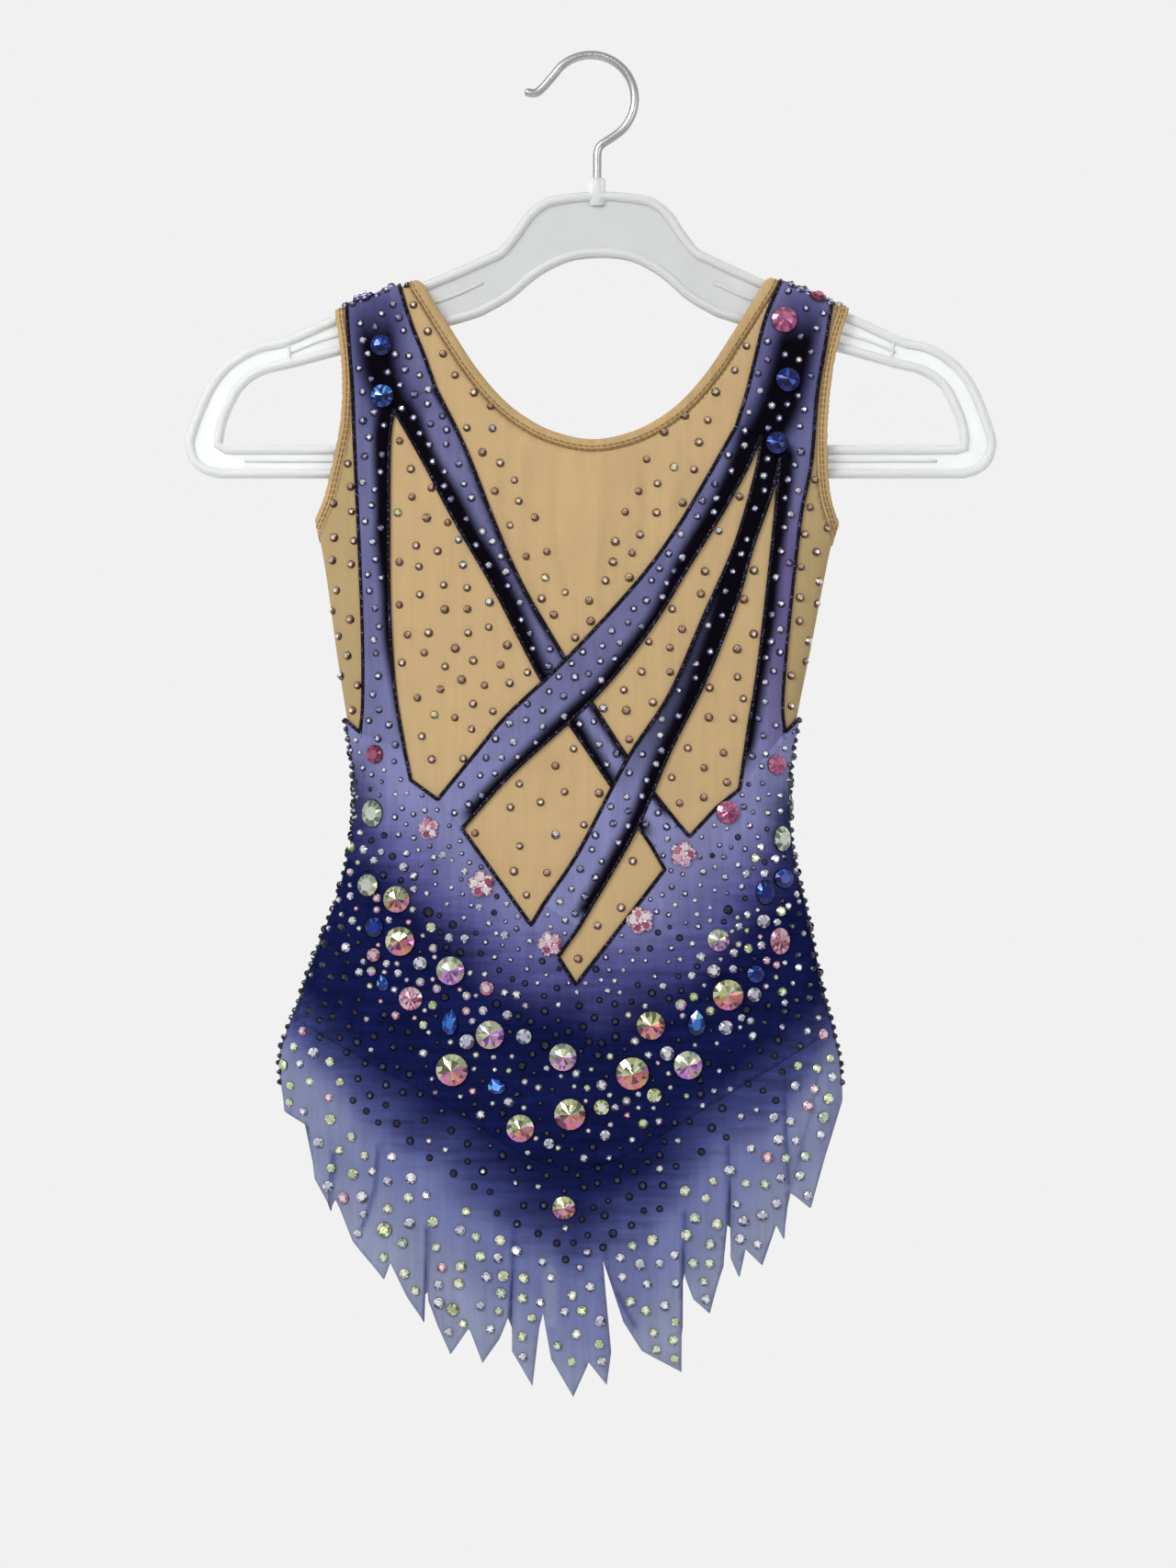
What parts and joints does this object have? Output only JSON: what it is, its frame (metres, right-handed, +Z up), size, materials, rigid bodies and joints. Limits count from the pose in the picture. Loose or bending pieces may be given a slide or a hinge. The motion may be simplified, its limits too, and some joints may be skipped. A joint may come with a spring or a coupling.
{
  "type": "figure skating dress on a clothes hanger",
  "caption": "Sleeveless skating dress of nude mesh with dyed crossing bands, sewn stones and a pointed skirt hem, hung nearly flat on a clear hanger.",
  "frame": {"origin": "inside top of the hanger's hook, where a peg or rail carries it", "axes": "+Z up, the dress's front faces -Y, +X to the right as seen from the front"},
  "size_m": [0.3516, 0.043, 0.5808],
  "materials": {
    "hook_wire": "polished",
    "hanger_plastic": "frosted clear",
    "nude_mesh": "fine stretch mesh",
    "edge_binding": "stretch binding",
    "dyed_band": "stretch cloth, dyed",
    "dyed_body": "stretch cloth, dyed",
    "skirt_mesh": "sheer stretch mesh, dyed",
    "brief_cloth": "stretch cloth",
    "outline_cord": "sewn glitter cord",
    "crystal_stone": "foiled cut glass"
  },
  "bodies": {
    "root": {"hook": "hook_wire", "hanger": "hanger_plastic", "front_yoke": "nude_mesh", "back_yoke": "nude_mesh", "neck_binding_front": "edge_binding", "neck_binding_back": "edge_binding", "armhole_binding_left_front": "edge_binding", "armhole_binding_left_back": "edge_binding", "armhole_binding_right_front": "edge_binding", "armhole_binding_right_back": "edge_binding", "band_left_side": "dyed_band", "band_right_side": "dyed_band", "band_right_cross": "dyed_band", "band_centre": "dyed_band", "band_left_cross_upper": "dyed_band", "band_left_cross_middle": "dyed_band", "band_left_cross_lower": "dyed_band", "front_body": "dyed_body", "back_body": "dyed_body", "front_skirt": "skirt_mesh", "back_skirt": "skirt_mesh", "front_brief": "brief_cloth", "back_brief": "brief_cloth"}
  },
  "joints": []
}
